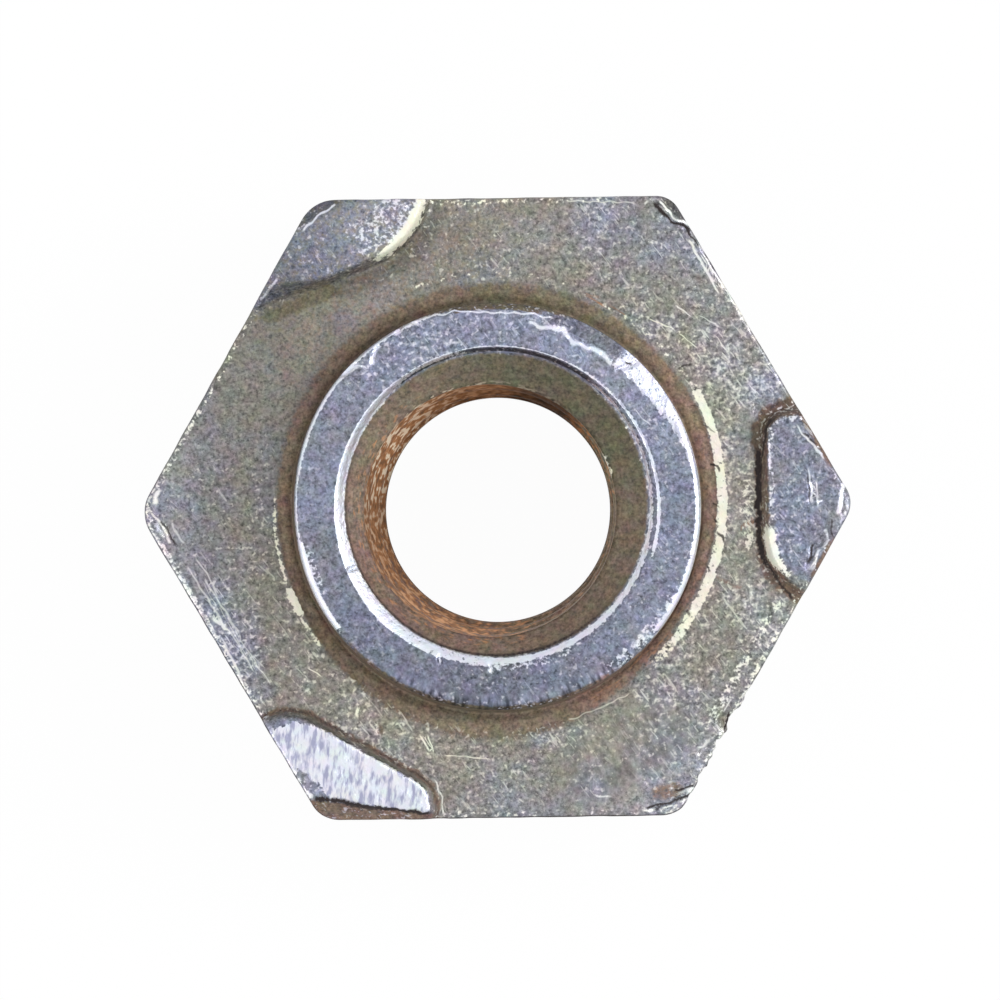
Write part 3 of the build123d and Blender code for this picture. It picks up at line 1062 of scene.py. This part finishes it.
# %% Rust and combed marks
rust = by_angle(angle, {0: 0.15, 40: 0.5, 60: 1, 185: 1, 215: 0.7, 260: 0.5, 300: 0.1})
rust_above = by_angle(angle, {0: 0, 80: 0, 110: 0.05, 150: 0.14, 185: 0.20, 240: 0.20, 275: 0.16, 300: 0})
rust_above = rust_above * smooth((throat_height + 0.20 - z) / 0.15)
rust_below = by_angle(angle, {0: 0.05, 30: 0.06, 55: 0, 285: 0, 300: 0.10, 320: 0.11, 345: 0.06})
creamy = by_angle(angle, {0: 0.1, 60: 0, 100: 0.1, 125: 0.6, 150: 1, 170: 0.85, 190: 0.45, 205: 0.25,
                          230: 0.2, 270: 0.15})
# Painted highlight: a pale line along the throat's edge on its upper side.
throat_edge_highlight = (z < throat_height + 0.01) * by_angle(angle, {40: 0, 70: 0.5, 100: 1, 130: 1, 150: 0})
rusty_spots = strokes(x, y, [
    ((354.6, 3.58), (356.5, 3.72), 0.06, 0.5),
    ((56.0, 3.36), (66.0, 3.36), 0.05, 0.3),
])
streaks_on_pad = smooth(pad_inside["lower_left"] / 0.05)
# Painted highlight: a glint on the throat's edge at the right.
throat_glint = stretches(radius, (14, 27, 3, 1.69, 1.73, 0.02, 1)) * (z > 3.3)
combed_places = [
    (on_collar, between(angle, 238, 338, 20) * smooth((radius - 2.64) / 0.22)),
    (on_face, stretches(radius, (284, 310, 10, 3.5, 4.5, 0.4, 0.4))),
    (radius > 4.2, 0.26 * down_the_side * smooth(z / 0.05)),
]

# %% [markdown]
# All masks are stored on the mesh now, each under its own name, which the material reads back. A
# vertex colour could hold only four of them.

# %% Attributes
masks = {
    "scraped_and_highlit": np.where(on_collar & ~in_cone, scraped_and_highlit_on_collar(), 0)
    + np.where(on_face, scraped_and_highlit_on_face(), 0)
    + np.where(in_bore | in_cone, throat_glint, 0),
    "brown": brown_mask(),
    "cool": cool_mask(),
    "rust": np.select(
        [in_bore, in_cone, on_face],
        [rust, rust_above, most(rusty_spots, rust_below * (radius < 3.17))],
        0.0,
    ),
    "cream_and_highlight": np.select([in_cone, in_bore], [throat_edge_highlight, creamy], 0.0),
    "reddish": reddish_mask(),
    "grime_and_shade": grime_and_shade_mask(),
    "wear_and_glints": wear_and_glint_mask(),
    "streaks": np.select([on_face, on_collar], [streaks_on_pad, between(angle, 5, 50, 4) * 0.6]),
    "combed": sum(np.where(place, marks, 0) for place, marks in combed_places),
}
for name in ("scraped_and_highlit", "brown", "cool", "rust", "wear_and_glints", "streaks"):
    masks[name] = masks[name] * (1 - down_the_side * outer_part)
for name, values in masks.items():
    masks[name] = np.clip(values, 0, 1)
    print(f"{name}: covers {np.mean(values > 0.5):.1%} of the points")
masks["tone"] = tone_and_shading_map()
masks["tone"] = masks["tone"] + (1 - masks["tone"]) * down_the_side * outer_part
masks["bright_side"], masks["bright_line"] = nearest_line(bright_lines)
masks["dark_side"], masks["dark_line"] = nearest_line(dark_lines)
for name, values in masks.items():
    layer = mesh.attributes.new(name, "FLOAT", "POINT")
    layer.data.foreach_set("value", values.astype(np.float32))

# %% [markdown]
# ## The finish
#
# The material is built in layers, as the real surface was: dull zinc plating first, then the film,
# the rust, the scraped metal and the grime. A small class keeps the three values that each layer
# changes, which are colour, metalness and roughness, and lays the next one over them.

# %% Node helpers
material = bpy.data.materials.new("worn_zinc_plating")
material.use_nodes = True
tree = material.node_tree
shader = tree.nodes["Principled BSDF"]


def link_or_set(socket, value):
    if isinstance(value, bpy.types.NodeSocket):
        tree.links.new(value, socket)
    else:
        socket.default_value = value


def calculate(operation, a, b=0.0, clamp=False):
    node = tree.nodes.new("ShaderNodeMath")
    node.operation = operation
    node.use_clamp = clamp
    link_or_set(node.inputs[0], a)
    link_or_set(node.inputs[1], b)
    return node.outputs[0]


def times(a, b):
    return calculate("MULTIPLY", a, b)


def plus(a, b):
    return calculate("ADD", a, b)


def vector(operation, a, b=None, scale=None, output="Vector"):
    node = tree.nodes.new("ShaderNodeVectorMath")
    node.operation = operation
    link_or_set(node.inputs[0], a)
    if b is not None:
        link_or_set(node.inputs[1], b)
    if scale is not None:
        link_or_set(node.inputs["Scale"], scale)
    return node.outputs[output]


def remap(value, low, high, to_low=0.0, to_high=1.0):
    """Turns low..high into to_low..to_high and stops there."""
    node = tree.nodes.new("ShaderNodeMapRange")
    link_or_set(node.inputs["Value"], value)
    for socket, number in zip(("From Min", "From Max", "To Min", "To Max"), (low, high, to_low, to_high)):
        node.inputs[socket].default_value = number
    return node.outputs["Result"]


def blend(a, b, factor, kind="RGBA"):
    node = tree.nodes.new("ShaderNodeMix")
    node.data_type = kind
    sockets = {socket.identifier: socket for socket in node.inputs}
    link_or_set(sockets["Factor_Float"], factor)
    ending = "Color" if kind == "RGBA" else "Float"
    link_or_set(sockets["A_" + ending], a)
    link_or_set(sockets["B_" + ending], b)
    outputs = {socket.identifier: socket for socket in node.outputs}
    return outputs["Result_" + ending]


def mask(name):
    node = tree.nodes.new("ShaderNodeAttribute")
    node.attribute_name = name
    return node.outputs["Fac"]


class Finish:
    """Colour, metalness and roughness of a surface, on which further layers can be laid."""

    def __init__(self, colour, metal, rough):
        self.colour, self.metal, self.rough = colour, metal, rough

    def over(self, colour, metal, rough, cover):
        self.colour = blend(self.colour, colour, cover)
        self.metal = blend(self.metal, metal, cover, kind="FLOAT")
        self.rough = blend(self.rough, rough, cover, kind="FLOAT")


# %% [markdown]
# Two kinds of noise are used. The first has lumps in all directions, or drawn out along a straight
# line. The second runs in rings round the axis, like marks left by a turning tool or by a nut that
# was rubbed as it spun. It is made from the direction and the distance of each point, so it has no
# seam.

# %% Noise
coordinates = tree.nodes.new("ShaderNodeTexCoord")
in_mm = vector("SCALE", coordinates.outputs["Object"], scale=1 / MM)
flat = vector("MULTIPLY", in_mm, (1, 1, 0))
separate = tree.nodes.new("ShaderNodeSeparateXYZ")
tree.links.new(in_mm, separate.inputs[0])
upward = times(separate.outputs["Z"], 0.18)  # the bore's wall is seen nearly edge on
outward = plus(vector("LENGTH", flat, output="Value"), upward)


def noise_node(place, scale, detail, roughness):
    node = tree.nodes.new("ShaderNodeTexNoise")
    for name, number in (("Scale", scale), ("Detail", detail), ("Roughness", roughness)):
        node.inputs[name].default_value = number
    tree.links.new(place, node.inputs["Vector"])
    return node


def textured(place, detail, roughness):
    """Noise spread out over 0 to 1; by itself it seldom leaves 0.3 to 0.7."""
    return remap(noise_node(place, 1.0, detail, roughness).outputs["Fac"], 0.3, 0.7)


def noise(per_mm, detail=2.0, roughness=0.6, turn=None, stretch=1.0):
    """Noise with that many lumps in a millimetre, drawn out along a turned direction if asked."""
    place = vector("SCALE", in_mm, scale=per_mm)
    if turn is not None:
        shape = tree.nodes.new("ShaderNodeMapping")
        shape.vector_type = "TEXTURE"
        shape.inputs["Rotation"].default_value = (0, 0, radians(turn))
        shape.inputs["Scale"].default_value = (stretch, 1, 1)
        tree.links.new(place, shape.inputs["Vector"])
        place = shape.outputs["Vector"]
    return textured(place, detail, roughness)


def ring_noise(around, out, detail=2.0, roughness=0.6):
    """Noise in rings: lumps for each radian round the axis, and for each millimetre outwards or up."""
    combine = tree.nodes.new("ShaderNodeCombineXYZ")
    link_or_set(combine.inputs["Z"], times(outward, out))
    place = vector("ADD", vector("SCALE", vector("NORMALIZE", flat), scale=around), combine.outputs[0])
    return textured(place, detail, roughness)


def jitter(grain, spread):
    """The grain, moved so that it lies about 0, and made that wide."""
    return times(calculate("SUBTRACT", grain, 0.5), spread)


def broken(cover, grain, spread, sharpness):
    """A mask whose edge follows the grain. Where the mask is 0 it stays 0."""
    shifted = plus(cover, jitter(grain, spread))
    edged = remap(shifted, 0.5 - 0.5 / sharpness, 0.5 + 0.5 / sharpness)
    return times(edged, remap(cover, 0.02, 0.15))


def drawn(name, grain, rough=0.5):
    """The thin lines of one kind, with edges roughened by the grain."""
    side = calculate("ABSOLUTE", mask(name + "_side"))
    roughened = plus(side, jitter(grain, rough))
    return times(remap(roughened, 0.35, 1.0, 1.0, 0.0), mask(name + "_line"))


# %% [markdown]
# ## Layers
#
# The plating has a fine speckle, of twelve and twenty-five lumps to the millimetre. A coloured noise
# tints it, now pink, now green or blue, as thin plating does. An image of worn metal could be laid on
# instead, but it would repeat and would not follow the nut's own wear.

# %% Plating
OLIVE = (0.315, 0.297, 0.262, 1)
COOL = (0.283, 0.303, 0.398, 1)
OLIVE_BROWN = (0.160, 0.145, 0.095, 1)
RED_BROWN = (0.205, 0.138, 0.110, 1)
RUST = (0.36, 0.17, 0.075, 1)
CREAM_AND_HIGHLIGHT = (0.72, 0.62, 0.47, 1)
# The two bright colours also paint highlights and glints, and the grime colour also paints shade.
WARM_BRIGHT = (0.92, 0.90, 0.74, 1)
COOL_BRIGHT = (0.87, 0.89, 0.99, 1)
MAUVE = (0.43, 0.44, 0.60, 1)
GRIME_AND_SHADE = (0.030, 0.022, 0.022, 1)

fine = noise(12, detail=2.5, roughness=0.65)
finer = noise(25, detail=1.5)
grain = blend(fine, finer, 0.45, kind="FLOAT")
patches = noise(1.3, detail=2)
lumps = noise(14, detail=1.5)
rings_bore = ring_noise(14, 24, detail=1.5)
combed = ring_noise(38, 5, detail=1.5)
upright = noise(14, detail=2.5, turn=84, stretch=3.5)
scratches = noise(21, detail=1, turn=127, stretch=6)


def lightened(colour, value):
    node = tree.nodes.new("ShaderNodeHueSaturation")
    link_or_set(node.inputs["Color"], colour)
    link_or_set(node.inputs["Value"], value)
    return node.outputs["Color"]


hues = noise_node(in_mm, scale=3.5, detail=2.5, roughness=0.75)
hue_shift = vector("SUBTRACT", hues.outputs["Color"], (0.5, 0.5, 0.5))


def tinted(colour, amount):
    """The colour shifted a little towards red, green or blue by a coloured noise."""
    plain = colour[:3] if isinstance(colour, tuple) else colour
    return vector("MULTIPLY", plain, vector("ADD", vector("SCALE", hue_shift, scale=amount), (1, 1, 1)))


cool = mask("cool")
wear_and_glints = mask("wear_and_glints")
coolness = calculate("ADD", cool, remap(patches, 0.0, 1.0, -0.35, 0.38), clamp=True)
plating = tinted(blend(OLIVE, COOL, coolness), 0.42)
pits = remap(lumps, 0.04, 0.24, 0.62, 1.0)
speckle = times(remap(grain, 0.12, 0.88, 0.50, 1.48), pits)
speckle = blend(speckle, 1.0, remap(mask("combed"), 0.0, 0.26, 0.0, 0.50), kind="FLOAT")
finish = Finish(lightened(plating, speckle), 0.85, remap(finer, 0.0, 1.0, 0.36, 0.52))

# %% [markdown]
# The film goes over the plating first, and the rust over the film, as they grew. Both are dull, so
# they also lower the metalness and raise the roughness. The rust is drawn in rings, along the turns
# of the thread. The tone is laid on after them, and so are the combed marks.

# %% Film and rust
film = blend(OLIVE_BROWN, RED_BROWN, mask("reddish"))
film = lightened(tinted(film, 0.6), remap(grain, 0.12, 0.88, 0.50, 1.50))
finish.over(film, 0.25, 0.6, broken(mask("brown"), fine, spread=0.7, sharpness=1.6))
rusty = lightened(RUST, remap(rings_bore, 0, 1, 0.40, 1.5))
finish.over(rusty, 0.0, 0.75, broken(mask("rust"), rings_bore, spread=0.8, sharpness=2.0))
finish.over(CREAM_AND_HIGHLIGHT, 0.1, 0.6, times(mask("cream_and_highlight"), remap(rings_bore, 0.56, 0.74)))
# The tone also carries painted light and shade.
finish.colour = lightened(finish.colour, mask("tone"))
comb = blend(1.0, remap(combed, 0.15, 0.85, 0.40, 1.70), mask("combed"), kind="FLOAT")
finish.colour = lightened(finish.colour, comb)

# %% [markdown]
# A nut that was tumbled with others has countless small bright spots, in clusters, and a few short
# scratches in one direction. The spots also stand for glints, so they are partly painted highlights,
# set thicker on the sides towards the lamps. To draw each one would take long. Noise above a threshold
# gives such spots, and the threshold falls where the wear is thick, so that they lie closer there.

# %% Bright marks
thick = plus(times(wear_and_glints, 0.36), remap(patches, 0, 1, -0.16, 0.16))
gate = remap(wear_and_glints, 0.02, 0.2)
spots = remap(plus(lumps, thick), 0.88, 1.38)
marks = remap(plus(scratches, times(thick, 0.40)), 1.00, 1.20)
marks = times(calculate("MAXIMUM", spots, marks), gate)
bright = blend(WARM_BRIGHT, COOL_BRIGHT, coolness)
finish.over(tinted(bright, 0.3), 0.75, 0.40, times(marks, 0.85))

# %% [markdown]
# Scraped metal is smooth and bright, and on the lower left projection it has bluish streaks from the
# scrape. The same layer paints the highlights on edges and lips and the glints. It covers all older
# layers. Grime comes last, because it gathers in what the scraping left, and the same dark layer
# paints the shade in creases, grooves and at the feet of walls. The thin lines join the layer of
# their own kind.

# %% Scraped metal, painted highlights, grime and painted shade
solid = blend(WARM_BRIGHT, COOL_BRIGHT, cool)
streaky = times(remap(upright, 0.20, 0.60, 1.0, 0.0), mask("streaks"))
streaked = blend(tinted(solid, 0.35), MAUVE, streaky)
chunks = blend(lumps, finer, 0.4, kind="FLOAT")
# Bare metal and painted highlights, with the bright thin lines.
scraped_and_highlit = broken(mask("scraped_and_highlit"), chunks, spread=0.9, sharpness=4.0)
scraped_and_highlit = calculate("MAXIMUM", scraped_and_highlit, drawn("bright", finer))
scraped_and_highlit_metalness = remap(cool, 0.2, 0.8, 0.25, 0.9)
finish.over(streaked, scraped_and_highlit_metalness, 0.38, scraped_and_highlit)
# Grime and painted shade, with the dark thin lines.
grime_and_shade = calculate("MAXIMUM", broken(mask("grime_and_shade"), finer, spread=0.5, sharpness=1.6), drawn("dark", finer))
finish.over(GRIME_AND_SHADE, 0.1, 0.7, grime_and_shade)

tree.links.new(finish.colour, shader.inputs["Base Color"])
tree.links.new(finish.metal, shader.inputs["Metallic"])
tree.links.new(finish.rough, shader.inputs["Roughness"])
shader.inputs["Specular IOR Level"].default_value = 0.25

# %% [markdown]
# The speckle also has a little height, 5 thousandths of a millimetre. Real geometry that fine would
# take millions of faces, so it is a bump: it turns the light without moving the surface. Everything
# larger is in the mesh.

# %% Relief
relief = tree.nodes.new("ShaderNodeBump")
relief.inputs["Strength"].default_value = 1.0
relief.inputs["Distance"].default_value = 0.005 * MM
tree.links.new(fine, relief.inputs["Height"])
tree.links.new(relief.outputs["Normal"], shader.inputs["Normal"])

mesh.materials.append(material)
print(f"{len(tree.nodes)} nodes in the finish")
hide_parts("weld_nut")
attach(nut, "root")

# %% [markdown]
# ## Floor and light
#
# The nut lies on a white floor that the camera sees as almost pure white, with only a faint shadow.
# A plain white floor would look grey where the lamps do not reach, so it shines a little by itself,
# but only towards the camera and in reflections. It sends no light back on to the nut's sides.

# %% Floor
def add_floor():
    floor_mesh = bpy.data.meshes.new("floor")
    far = 1.5
    floor_mesh.from_pydata([(-far, -far, 0), (far, -far, 0), (far, far, 0), (-far, far, 0)], [], [(0, 1, 2,
                                                                                                   3)])
    floor = bpy.data.objects.new("floor", floor_mesh)
    bpy.context.scene.collection.objects.link(floor)
    paint = bpy.data.materials.new("white_floor")
    paint.use_nodes = True
    nodes, links = paint.node_tree.nodes, paint.node_tree.links
    nodes.clear()
    kinds = ("OutputMaterial", "BsdfDiffuse", "Emission", "LightPath", "MixShader", "Math", "Math", "Math")
    out, matt, white, rays, mix, seen, seen_too, share = (nodes.new("ShaderNode" + kind) for kind in kinds)
    matt.inputs["Color"].default_value = (0.9, 0.9, 0.9, 1)
    seen.operation = seen_too.operation = "MAXIMUM"
    share.operation = "MULTIPLY"
    share.inputs[1].default_value = 0.97  # the rest is the floor's own surface, which keeps the shadow
    for source, target in (
        (rays.outputs["Is Camera Ray"], seen.inputs[0]),
        (rays.outputs["Is Glossy Ray"], seen.inputs[1]),
        (seen.outputs[0], seen_too.inputs[0]),
        (rays.outputs["Is Transmission Ray"], seen_too.inputs[1]),
        (seen_too.outputs[0], share.inputs[0]),
        (share.outputs[0], mix.inputs["Fac"]),
        (matt.outputs[0], mix.inputs[1]),
        (white.outputs[0], mix.inputs[2]),
        (mix.outputs[0], out.inputs["Surface"]),
    ):
        links.new(source, target)
    floor_mesh.materials.append(paint)
    return floor


floor = add_floor()


# %% [markdown]
# The light is that of a plain studio: an even pale surround, a large soft lamp on the right, and a
# smaller warm one on the left, so that edges that face right catch the strongest light. A single
# sun would give hard shadows and black reflections on metal.

# %% Lamps and surround
def add_lamp(name, direction, elevation, distance, size, radiance, colour):
    """A square lamp that faces the nut. Radiance is how bright it looks from there."""
    data = bpy.data.lights.new(name, "AREA")
    data.shape = "SQUARE"
    data.size = size * MM
    data.energy = radiance * pi * (size * MM) ** 2
    data.color = colour
    lamp = bpy.data.objects.new(name, data)
    out = distance * cos(radians(elevation))
    across, up = at(direction, out)
    lamp.location = (across * MM, up * MM, distance * sin(radians(elevation)) * MM)
    lamp.rotation_euler = (-lamp.location).to_track_quat("-Z", "Y").to_euler()
    lamp.visible_camera = False
    bpy.context.scene.collection.objects.link(lamp)
    return lamp


add_lamp("right_lamp", 12, 40, 260, 130, 6.0, (0.98, 0.99, 1.0))
add_lamp("left_lamp", 200, 38, 260, 80, 4.0, (1.0, 0.96, 0.86))

world = bpy.data.worlds.new("studio")
world.use_nodes = True
world.node_tree.nodes["Background"].inputs["Color"].default_value = (0.97, 0.98, 1.0, 1)
world.node_tree.nodes["Background"].inputs["Strength"].default_value = 0.85
bpy.context.scene.world = world
bpy.context.scene.view_settings.view_transform = "Standard"
